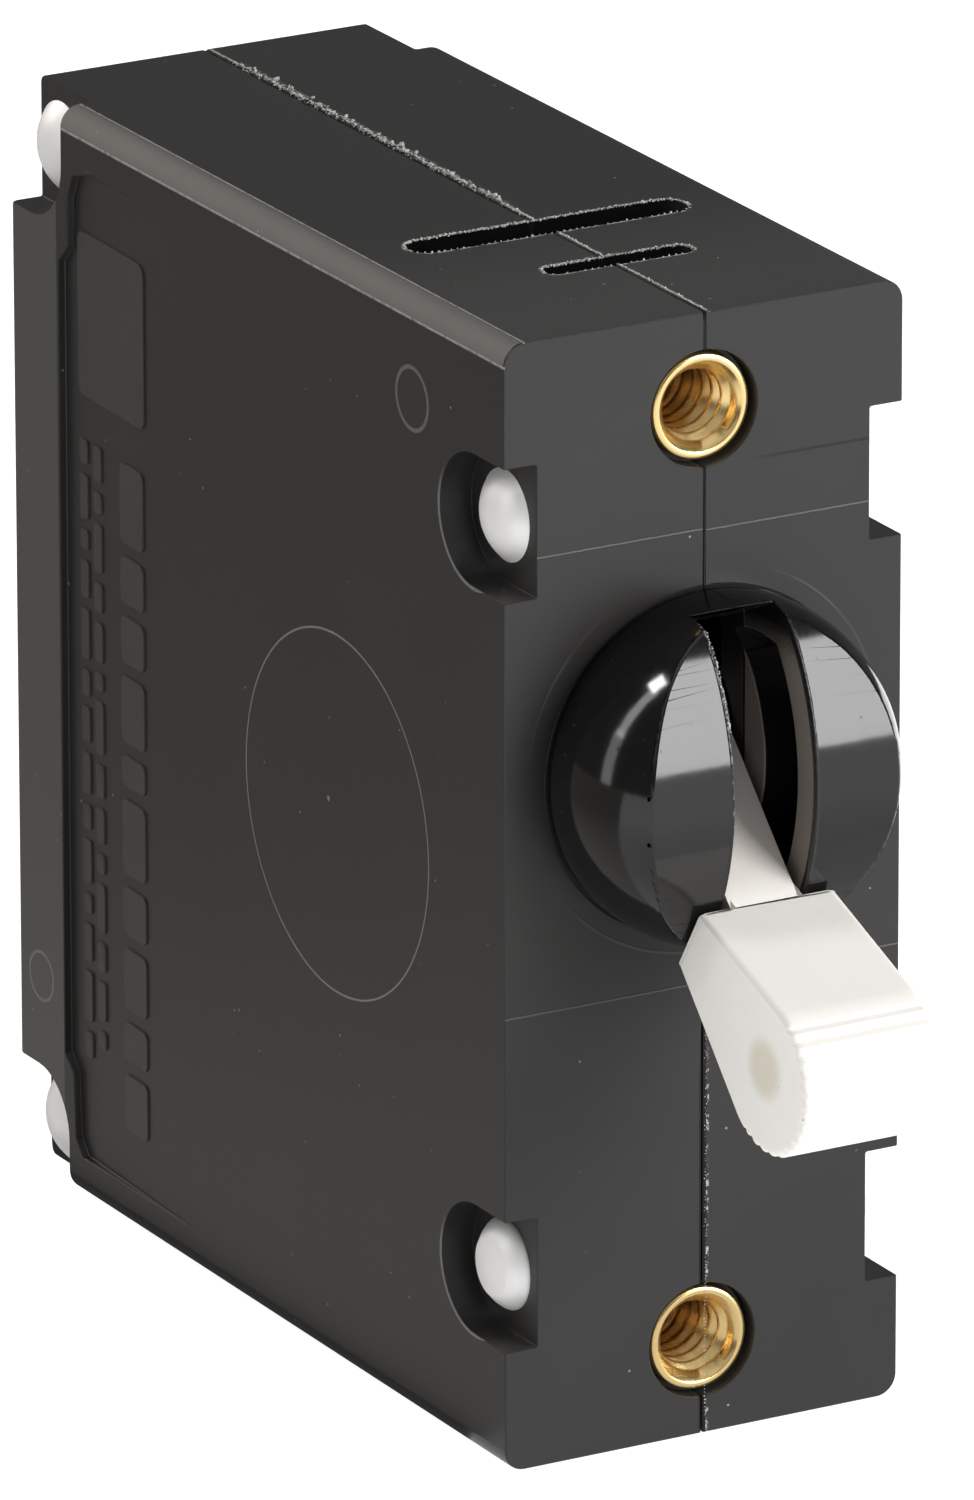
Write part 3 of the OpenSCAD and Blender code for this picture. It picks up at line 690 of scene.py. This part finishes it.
def ball_half(node, side):
    """One polished half of the slotted ball, high in detail because it shines."""
    bm = bmesh.new()
    ball_shape(bm, BALL_R)
    piece = closed(bm, node + "_ball", "ball_moulding")
    front = prism("front_tool", circle(PIVOT_Y, PIVOT_Z, BALL_FRONT_R, 360), -9.0, 9.0)
    carve(piece, front, "INTERSECT")
    near, far = sorted((0.0, side * 9.0))
    half = prism("half_tool", [(-12, -5), (0.06, -5), (0.06, 15), (-12, 15)], near, far)
    carve(piece, half, "INTERSECT")
    bm = bmesh.new()
    ball_shape(bm, BALL_R - SHELL_T)
    hollow = closed(bm, "hollow_tool")
    ring = prism("ring_tool", circle(PIVOT_Y, PIVOT_Z, BALL_FRONT_R - SHELL_T, 180), -9.0, 9.0)
    core = prism("core_tool", circle(PIVOT_Y, PIVOT_Z, CHEEK_R, 180), -10.0, 10.0)
    carve(ring, core)
    carve(hollow, ring, "INTERSECT")
    carve(piece, hollow)
    slot = [(y, PIVOT_Z + s * (SLOT_HALF_AT_FACE - SLOT_FLARE * y))
            for y, s in ((-11, -1), (5, -1), (5, 1), (-11, 1))]
    carve(piece, prism("slot_tool", slot, -SLOT_W / 2, SLOT_W / 2))
    well = prism("well_tool", circle(PIVOT_Y, PIVOT_Z, HUB_WELL_R, 96),
                 -HUB_WELL_HALF, HUB_WELL_HALF)
    carve(piece, well)
    return true_normals(ease_edges(piece, 0.1, 3, 24.0, 40.0))


def rounded_bar(y0, y1, z0, z1, r):
    """A bar's outline with rounded corners."""
    out = []
    for cy, cz, a in ((y1 - r, z1 - r, 0), (y0 + r, z1 - r, 90),
                      (y0 + r, z0 + r, 180), (y1 - r, z0 + r, 270)):
        out += circle(cy, cz, r, 5, a, a + 90)
    return out


def label_relief(side):
    """Plain raised pad, bars and dashes where a maker would mould a label."""
    foot, rise, first_z = -0.15, 0.1, 10.2
    bm = bmesh.new()

    def bar(y0, y1, z0, z1, r):
        outline = rounded_bar(y0, y1, z0, z1, r)
        low, high = ([bm.verts.new((side * (panel_x(y) + up), y, z)) for y, z in outline]
                     for up in (foot, rise))
        bm.faces.new(low)
        bm.faces.new(high)
        skin(bm, [low, high])

    bar(31.7, 38.0, 12.2, 19.6, 0.5)
    z = first_z
    for length in (3.6, 2.1, 2.1, 3.0, 1.4, 3.4, 2.2, 2.8, 1.8, 2.6):
        bar(31.9, 34.1, z - length, z, 0.35)
        z -= length + 0.62
    for row, lengths in ((35.9, (1.6, 0.9, 2.2, 1.3, 1.8, 0.8, 2.4, 1.5)),
                         (37.2, (1.1, 2.0, 0.9, 1.7, 2.3, 1.2, 1.6, 1.9))):
        z = first_z
        for i in range(14):
            length = lengths[i % len(lengths)]
            bar(row, row + 0.75, z - length, z, 0.18)
            z -= length + 0.5
    name = "label_relief_left" if side < 0 else "label_relief_right"
    return ease_edges(closed(bm, name, "relief_moulding"), 0.04)


def build_case():
    """Both case halves, with their ball halves and label reliefs."""
    for node, side in (("case_left", -1), ("case_right", 1)):
        fit(case_shell(node, side), "base", "case_moulding", node)
        fit(ball_half(node, side), "base", "case_moulding")
        fit(label_relief(side), "base", "case_moulding")


build_case()


# ---- Handle ----

def paddle_outline():
    """The paddle in (along, across): a flared neck, then a tip with fine serrations."""
    lean = math.radians(TAPER)
    ribs, per_rib, depth = 19, 6, 0.16
    points = [(NECK_S, -NECK_T)]
    for i in range(ribs * per_rib + 1):
        angle = -(math.pi / 2 + lean) + (math.pi + 2 * lean) * i / (ribs * per_rib)
        wave = 1 - abs((i / per_rib % 1.0) * 2 - 1)
        cut = depth * wave if abs(angle) < math.radians(88) else 0.0
        points.append((TIP_S + (TIP_R - cut) * math.cos(angle), (TIP_R - cut) * math.sin(angle)))
    points.append((NECK_S, NECK_T))
    return points


def on_handle(s, t):
    """A place along and across the handle, in (y, z)."""
    a = math.radians(HANDLE_ANGLE)
    return (PIVOT_Y + s * math.cos(a) - t * math.sin(a),
            PIVOT_Z + s * math.sin(a) + t * math.cos(a))


def paddle():
    """The serrated paddle with softly rounded cheeks."""
    outline = paddle_outline()
    round_r, steps = 0.32, 4
    bm = bmesh.new()
    loops, layers = [], []
    for i in range(steps + 1):
        a = math.radians(90 * i / steps)
        layers.append((PADDLE_HALF - round_r + round_r * math.cos(a), round_r * (1 - math.sin(a))))
    rings = [(-x, inset) for x, inset in layers] + [(x, inset) for x, inset in reversed(layers)]
    centre = TIP_S - 2.0
    for x, inset in rings:
        ring = []
        for s, t in outline:
            reach = math.hypot(s - centre, t)
            k = 1 - inset / reach
            ring.append(bm.verts.new((x, *on_handle(centre + (s - centre) * k, t * k))))
        loops.append(ring)
    bm.faces.new(loops[0])
    bm.faces.new(loops[-1])
    skin(bm, loops)
    return shade_soft(closed(bm, "handle_paddle", "handle_moulding"), 28)


def build_handle():
    """The CAD stem and hub, with a detailed paddle."""
    stem = merged_copy("handle", "handle_stem", "handle_moulding")
    near, far, half = NECK_S + 0.2, 26.0, 6.0
    reach = [on_handle(s, t) for s, t in ((near, -half), (far, -half), (far, half), (near, half))]
    carve(stem, prism("paddle_tool", reach, -half, half))
    ease_edges(stem, 0.15, 3)
    fit(stem, "handle", "handle_moulding", "handle")
    fit(paddle(), "handle", "handle_moulding")


build_handle()


# ---- Inserts and rivets ----

def build_inserts():
    """Brass inserts with a real helical thread in a countersunk mouth."""
    bm = bmesh.new()
    around, per_pitch = 72, 12
    first, last, mouth_y = 0.75, BORE_END, INSERT_SINK + 0.03
    rows = int((last - first) / THREAD_PITCH * per_pitch)
    for z in (INSERT_Z, -INSERT_Z):
        outer = [(MOUTH_R, mouth_y), (MOUTH_R + 0.06, INSERT_SINK),
                 (INSERT_R - 0.08, INSERT_SINK), (INSERT_R, INSERT_SINK + 0.08),
                 (INSERT_R, FLANGE_Y0), (FLANGE_R, FLANGE_Y0), (FLANGE_R, FLANGE_Y1),
                 (INSERT_R, FLANGE_Y1), (INSERT_R, INSERT_LEN), (0.0, INSERT_LEN)]
        for profile in (outer, [(0.0, last), (THREAD_MINOR, last)]):
            turned(bm, profile, around, lambda a, b, d: (a, d, b + z))
        rings = [[bm.verts.new((MOUTH_R * math.cos(math.tau * i / around), mouth_y,
                                MOUTH_R * math.sin(math.tau * i / around) + z))
                  for i in range(around)]]
        for k in range(rows + 1):
            y = first + (last - first) * k / rows
            fade = min(1.0, (last - y) / 0.4)
            ring = []
            for i in range(around):
                phase = ((y - first) / THREAD_PITCH + i / around) % 1.0
                crest = abs(phase * 2 - 1)
                cut = min(1.0, max(0.0, crest * 1.25 - 0.1)) * fade
                r = THREAD_MINOR + (THREAD_MAJOR - THREAD_MINOR) * cut
                mouth = MOUTH_R - (y - INSERT_SINK - 0.03) * 0.75
                r = max(r, mouth)
                ring.append(bm.verts.new((r * math.cos(math.tau * i / around), y,
                                          r * math.sin(math.tau * i / around) + z)))
            rings.append(ring)
        skin(bm, rings)
    piece = closed(bm, "threaded_inserts", "insert_brass")
    smooth_up_to(piece.data, 62)
    fit(piece, "base", "insert_brass", "mounting_inserts")


build_inserts()


def rivet_head(flat):
    """One rivet head on its seat, turned about X, its top towards +X."""
    bm = bmesh.new()
    if flat:
        profile = [(0.0, 0.8), (1.25, 0.8), (1.36, 0.77), (1.75, 0.42), (1.93, 0.2),
                   (RIVET_R, 0.06), (RIVET_R, 0.0), (0.0, 0.0)]
    else:
        dome = (RIVET_R ** 2 + RIVET_H ** 2) / (2 * RIVET_H)
        profile = [(0.0, RIVET_H)]
        steps = 14
        for i in range(1, steps + 1):
            r = (RIVET_R - 0.06) * i / steps
            profile.append((r, RIVET_H - dome + math.sqrt(dome * dome - r * r)))
        profile += [(RIVET_R, 0.02), (RIVET_R, 0.0), (0.0, 0.0)]
    turned(bm, profile, 64, lambda a, b, d: (d, a, b))
    head = closed(bm, "rivet_head", "rivet_aluminium")
    smooth_up_to(head.data, 38)
    return head


def geometry_tree(name, numbers, places=()):
    """A Geometry Nodes tree with a mesh in and out, and its named inputs' identifiers."""
    tree = bpy.data.node_groups.new(name, "GeometryNodeTree")
    for in_out in ("INPUT", "OUTPUT"):
        tree.interface.new_socket("Geometry", in_out=in_out, socket_type="NodeSocketGeometry")
    given = {}
    for labels, kind in ((numbers, "NodeSocketFloat"), (places, "NodeSocketVector")):
        for label in labels:
            socket = tree.interface.new_socket(label, in_out="INPUT", socket_type=kind)
            given[label] = socket.identifier
    return tree, given


def end_tree(tree, instances, finish):
    """Makes a tree's instances real, gives them a finish and sends them out."""
    made, link = tree.nodes.new, tree.links.new
    real, coat = made("GeometryNodeRealizeInstances"), made("GeometryNodeSetMaterial")
    coat.inputs["Material"].default_value = FINISHES[finish]
    link(instances, real.inputs[0])
    link(real.outputs[0], coat.inputs["Geometry"])
    link(coat.outputs[0], made("NodeGroupOutput").inputs[0])


def run_tree(piece, name, tree, values):
    """Runs a tree on a piece with values for its inputs, and leaves a plain mesh."""
    modifier = piece.modifiers.new(name, "NODES")
    modifier.node_group = tree
    for identifier, value in values.items():
        modifier[identifier] = value
    return settle(piece)


def set_out(piece, name, places, seat):
    """Sets a piece at each named place, at seat from the seam on both sides of it."""
    tree, given = geometry_tree(name, ["Seat"], places)
    made, link = tree.nodes.new, tree.links.new
    source, join = made("NodeGroupInput"), made("GeometryNodeJoinGeometry")
    for label in places:
        for turn, sign in ((0.0, 1.0), (math.pi, -1.0)):
            signed = made("ShaderNodeMath")
            signed.operation = "MULTIPLY"
            signed.inputs[1].default_value = sign
            offset, total = made("ShaderNodeCombineXYZ"), made("ShaderNodeVectorMath")
            link(source.outputs["Seat"], signed.inputs[0])
            link(signed.outputs[0], offset.inputs[0])
            link(offset.outputs[0], total.inputs[0])
            link(source.outputs[label], total.inputs[1])
            place = made("GeometryNodeTransform")
            place.inputs["Rotation"].default_value = (0.0, 0.0, turn)
            link(source.outputs["Geometry"], place.inputs["Geometry"])
            link(total.outputs[0], place.inputs["Translation"])
            link(place.outputs[0], join.inputs[0])
    end_tree(tree, join.outputs[0], "rivet_aluminium")
    values = {given["Seat"]: seat * MM}
    values |= {given[label]: (0.0, y * MM, z * MM) for label, (y, z) in places.items()}
    return run_tree(piece, name, tree, values)


def build_rivets():
    """Three domed rivets and one struck flat, each with a head in both side faces."""
    domed = set_out(rivet_head(False), "rivet_places", {
        "Upper front": RIVET_FRONT_TOP, "Upper rear": RIVET_REAR_TOP,
        "Lower rear": RIVET_REAR_LOW}, RIVET_SEAT_X)
    domed.name = "rivet_heads_domed"
    flat = set_out(rivet_head(True), "flat_rivet_place", {"Lower front": RIVET_FRONT_LOW},
                   RIVET_SEAT_X)
    flat.name = "rivet_head_flat"
    bm = bmesh.new()
    r, half = RIVET_SHANK_R, 8.0
    for y, z in (RIVET_FRONT_TOP, RIVET_FRONT_LOW, RIVET_REAR_TOP, RIVET_REAR_LOW):
        turned(bm, [(0, -half), (r, -half), (r, half), (0, half)], 40,
               lambda a, b, d: (d, a + y, b + z))
    shanks = closed(bm, "rivet_shanks", "rivet_aluminium")
    fit(domed, "base", "rivet_aluminium", "case_rivets")
    for piece in (flat, shanks):
        fit(piece, "base", "rivet_aluminium")


build_rivets()


# ---- Torn edges ----

def crumb_tree():
    """A node tree that sets small broken crumbs along its mesh's edges."""
    tree, given = geometry_tree("crumbs_on_path", ("Spacing", "Spread", "Smallest", "Largest"))
    made, link = tree.nodes.new, tree.links.new
    source = made("NodeGroupInput")

    def at_random(low, high, seed):
        """A random vector between two sockets or two numbers."""
        value = made("FunctionNodeRandomValue")
        value.data_type = "FLOAT_VECTOR"
        value.inputs["Seed"].default_value = seed
        for socket, given_value in zip(value.inputs[:2], (low, high)):
            if isinstance(given_value, float):
                socket.default_value = (given_value,) * 3
            else:
                link(given_value, socket)
        return value.outputs[0]

    curve = made("GeometryNodeMeshToCurve")
    points = made("GeometryNodeCurveToPoints")
    points.mode = "LENGTH"
    moved = made("GeometryNodeSetPosition")
    minus = made("ShaderNodeMath")
    minus.operation = "MULTIPLY"
    minus.inputs[1].default_value = -1.0
    crumb = made("GeometryNodeMeshIcoSphere")
    set_down = made("GeometryNodeInstanceOnPoints")
    crumb.inputs["Radius"].default_value = 1.0
    crumb.inputs["Subdivisions"].default_value = 1
    link(source.outputs["Geometry"], curve.inputs[0])
    link(curve.outputs[0], points.inputs["Curve"])
    link(source.outputs["Spacing"], points.inputs["Length"])
    link(source.outputs["Spread"], minus.inputs[0])
    link(points.outputs["Points"], moved.inputs["Geometry"])
    link(at_random(minus.outputs[0], source.outputs["Spread"], 3), moved.inputs["Offset"])
    link(moved.outputs[0], set_down.inputs["Points"])
    link(crumb.outputs["Mesh"], set_down.inputs["Instance"])
    link(at_random(0.0, math.tau, 5), set_down.inputs["Rotation"])
    link(at_random(source.outputs["Smallest"], source.outputs["Largest"], 7),
         set_down.inputs["Scale"])
    end_tree(tree, set_down.outputs[0], "torn_moulding")
    return tree, given


CRUMBS, CRUMB_SOCKETS = crumb_tree()


def torn_edge(name, paths, spacing, spread, smallest, largest):
    """Crumbs of broken moulding along some paths, sizes in millimetres."""
    bm = bmesh.new()
    for path in paths:
        row = [bm.verts.new((x * MM, y * MM, z * MM)) for x, y, z in path]
        for a, b in zip(row, row[1:]):
            bm.edges.new((a, b))
    piece = put(name, plain_mesh(bm, name), "torn_moulding")
    sizes = {"Spacing": spacing, "Spread": spread, "Smallest": smallest, "Largest": largest}
    values = {CRUMB_SOCKETS[label]: value * MM for label, value in sizes.items()}
    fit(run_tree(piece, name, CRUMBS, values), "base", "case_moulding")


def slot_rim(centre_x, centre_y, half, vent_r, start, end):
    """A stretch of a vent slot's rim on the top face, from one angle to another."""
    r, steps, points = vent_r + 0.02, 40, []
    for i in range(steps + 1):
        a = math.radians(start + (end - start) * i / steps)
        shift = math.copysign(half, math.cos(a))
        points.append((centre_x + shift + r * math.cos(a), centre_y + r * math.sin(a),
                       CASE_HALF_H - 0.01))
    return points


def build_torn_edges():
    """Crumbs on the seams, the vents' rims and the slot's left edge."""
    top, ball_x = CASE_HALF_H - 0.02, -SLOT_W / 2
    torn_edge("torn_seam_rear", [[(0.16, 16.0, top), (0.14, 41.0, top)]], 0.045, 0.08, 0.01, 0.1)
    torn_edge("torn_seam_chunks", [[(0.26, 17.5, top), (0.22, 40.0, top)]], 0.22, 0.17, 0.02, 0.15)
    torn_edge("torn_seam_front", [[(0.17, 0.5, top), (0.17, 7.4, top)],
                                  [(0.17, 8.8, top), (0.17, 12.6, top)],
                                  [(0.15, 14.7, top), (0.15, 16.0, top)]],
              0.05, 0.045, 0.012, 0.085)
    torn_edge("torn_vents", [slot_rim(*vent, -20, 200) for vent in VENTS],
              0.06, 0.04, 0.01, 0.085)
    torn_edge("torn_vents_near", [slot_rim(*vent, 200, 340) for vent in VENTS],
              0.3, 0.03, 0.01, 0.075)
    torn_edge("torn_front_seam", [[(0.13, 0.0, -24.0), (0.13, 0.0, -7.0)]], 0.16, 0.04, 0.008, 0.05)
    slot_top, first, sweep, steps = [], 17, 22, 12
    for i in range(steps + 1):
        a = math.radians(first + sweep * i / steps)
        slot_top.append((ball_x, PIVOT_Y - BALL_FRONT_R * math.cos(a),
                         PIVOT_Z + BALL_FRONT_R * math.sin(a)))
    torn_edge("torn_slot_top", [slot_top], 0.07, 0.045, 0.01, 0.07)


build_torn_edges()


# ---- Terminals and the works inside ----

def build_terminals():
    """The strap terminals, washers and screws, with their edges eased."""
    for node, slot in (("line_terminal", "terminal_brass"), ("load_terminal", "terminal_brass"),
                       ("terminal_washers", "plated_steel"), ("terminal_screws", "plated_steel")):
        piece = ease_edges(merged_copy(node, node + "_eased", slot), 0.1)
        fit(piece, "base", slot, node)


build_terminals()


def soft_works():
    """Copies of the flexible braid and the delay spring stand in for their CAD nodes; neither bends nor shortens,
    and the core slide's travel is read but not used.
    """
    braid = merged_copy("flexible_braid", "woven_braid", "copper_alloy")
    low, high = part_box("flexible_braid")
    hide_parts("flexible_braid")
    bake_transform(braid)
    spring = merged_copy("delay_spring", "delay_spring_coils", "spring_steel")
    low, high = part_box("delay_spring")
    fit(spring, "base", "spring_steel", "delay_spring")
    travel = next(j["range_m"][1] for j in frame["joints"] if j["name"] == "core_slide")
    1.0 - travel / (high.y - low.y)
    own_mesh(spring)


soft_works()


def finish_inner_works():
    """Every CAD node that stays gets the finish of its own material slot."""
    for row in frame["record"]["subparts"]:
        node = frame["nodes"][row["node"]]
        node.data.materials.clear()
        node.data.materials.append(FINISHES[row["material_slot"]])


finish_inner_works()


# ---- Studio ----

def bearing(azimuth, elevation):
    """A unit vector: azimuth 0 is +Y and 90 is +X."""
    a, e = math.radians(azimuth), math.radians(elevation)
    return Vector((math.sin(a) * math.cos(e), math.cos(a) * math.cos(e), math.sin(e)))


def softbox(name, azimuth, elevation, wide, high, glow, tint=(1, 1, 1)):
    """A rectangular light wide by high degrees across, seen from the case."""
    away = 0.6
    lamp = bpy.data.lights.new(name, "AREA")
    lamp.shape = "RECTANGLE"
    lamp.size = 2 * away * math.tan(math.radians(wide / 2))
    lamp.size_y = 2 * away * math.tan(math.radians(high / 2))
    lamp.energy = glow * math.pi * lamp.size * lamp.size_y
    lamp.color = tint
    light = bpy.data.objects.new(name, lamp)
    scene.collection.objects.link(light)
    towards = bearing(azimuth, elevation)
    light.location = towards * away
    light.rotation_euler = towards.to_track_quat("Z", "Y").to_euler()
    light.visible_camera = False
    return light


SHELLS = ("case_left_shell", "case_right_shell")


def light_only(lamp, pieces):
    """Keeps a lamp to some pieces: the satin shells take the key without its mirror glare."""
    lit = bpy.data.collections.new(lamp.name + "_lights")
    for piece in pieces:
        lit.objects.link(piece)
    lamp.light_linking.receiver_collection = lit


# Name, azimuth, elevation, degrees wide and high, glow, and a tint where it isn't white
LAMPS = (
    ("fill_front_left", -140, 35, 40, 40, 0.4),
    ("strip_left_high", -70, 56, 8, 9, 26.0),
    ("strip_left_middle", -75.5, 38, 6, 31, 5.0),
    ("strip_left_low", -75, 11, 8, 29, 2.3),
    ("card_behind_left", -21, 25, 30, 30, 2.5, (1.06, 1.0, 0.92)),
    ("card_behind_right", 29, 22, 40, 26, 0.1),
    ("top_soft", 170, 72, 40, 30, 0.7),
)


def studio():
    """The key, split for the shells, then the other lamps and a dim room."""
    key_place = (141, 19.5, 30, 41)
    key = softbox("key_front_right", *key_place, 10.5)
    flood = softbox("key_on_shells", *key_place, 21.0)
    flood.visible_glossy = False
    light_only(key, [o for o in scene.objects if o.type == "MESH" and o.name not in SHELLS])
    light_only(flood, [scene.objects[name] for name in SHELLS])
    for lamp in LAMPS:
        softbox(*lamp)
    world = bpy.data.worlds.new("studio_room")
    scene.world = world
    world.use_nodes = True
    world.node_tree.nodes["Background"].inputs["Color"].default_value = (0.08, 0.08, 0.08, 1)
    scene.view_settings.view_transform = "Standard"


def table_finish():
    """Plain pale table, lit from within so that it stays even."""
    f = Finish("pale_table", Roughness=0.8, Emission_Color=(1, 1, 1, 1), Emission_Strength=0.95)
    cloud = f.noise(300.0)
    f.feed("Base Color", cloud.mix((0.4, 0.4, 0.4), (0.42, 0.42, 0.42)))
    return f.material


def card_finish(name, near, far, tint):
    """The table as the case mirrors it: bright further off, dim in the case's own shade."""
    f = Finish(name, Base_Color=(0, 0, 0, 1), Specular_IOR_Level=0.0, Emission_Strength=1.0)
    dy = f.y - 8.0
    away = (f.x * f.x + dy * dy) ** 0.5
    near_glow, far_glow = [c * near for c in tint], [c * far for c in tint]
    f.feed("Emission Color", away.step(28.0, 100.0).mix(near_glow, far_glow))
    return f.material


def floor_plane(name, low, high, z, material):
    """A level rectangle of the stage, in metres, from its low corner to its high one."""
    bm = bmesh.new()
    corners = [(low[0], low[1]), (high[0], low[1]), (high[0], high[1]), (low[0], high[1])]
    bm.faces.new([bm.verts.new((x, y, z)) for x, y in corners])
    mesh = plain_mesh(bm, name)
    mesh.materials.append(material)
    plane = bpy.data.objects.new(name, mesh)
    scene.collection.objects.link(plane)
    return plane


# Name, low and high corner in metres, glow near the case and far from it, tint
CARDS = (
    ("card_front", (-0.4, -1.2), (1.0, 0.004), 0.78, 1.22, (1.0, 1.0, 1.02)),
    ("card_left", (-0.5, 0.004), (-0.011, 0.6), 0.46, 0.24, (1.06, 1.0, 0.94)),
    ("card_right", (0.03, 0.004), (0.3, 0.16), 0.3, 1.6, (1.0, 1.0, 1.0)),
)


def table():
    """The table, and cards on it that only mirror rays see."""
    bottom, table_gap, card_gap = -CASE_HALF_H * MM, 0.0001, 0.00005
    wide = floor_plane("table", (-6, -6), (6, 6), bottom - table_gap, table_finish())
    wide.visible_glossy = False
    for name, low, high, near, far, tint in CARDS:
        card = floor_plane(name, low, high, bottom - card_gap, card_finish(name, near, far, tint))
        card.visible_camera = card.visible_diffuse = False
        card.visible_shadow = card.visible_transmission = False


table()
studio()


def camera():
    """The viewing angle: from the left, in front and above, with a long lens."""
    azimuth, elevation, roll = 29.204, -19.001, math.radians(-0.10)
    focal_mm, sensor_mm, away_m, aim_right, aim_up = 412.7664, 36.0, 0.71878, -9.0316, 5.3937
    forward = bearing(azimuth, elevation)
    right = forward.cross(Vector((0, 0, 1))).normalized()
    up = right.cross(forward)
    lens = bpy.data.cameras.new("camera")
    lens.sensor_width, lens.sensor_fit = sensor_mm, "AUTO"
    lens.lens = focal_mm
    lens.clip_start, lens.clip_end = 0.01, 20.0
    view = bpy.data.objects.new("camera", lens)
    scene.collection.objects.link(view)
    aim = (aim_right * right + aim_up * up) * MM
    turn = Matrix((right, up, -forward)).transposed() @ Matrix.Rotation(roll, 3, "Z")
    view.matrix_world = Matrix.Translation(aim - forward * away_m) @ turn.to_4x4()
    scene.camera = view


camera()
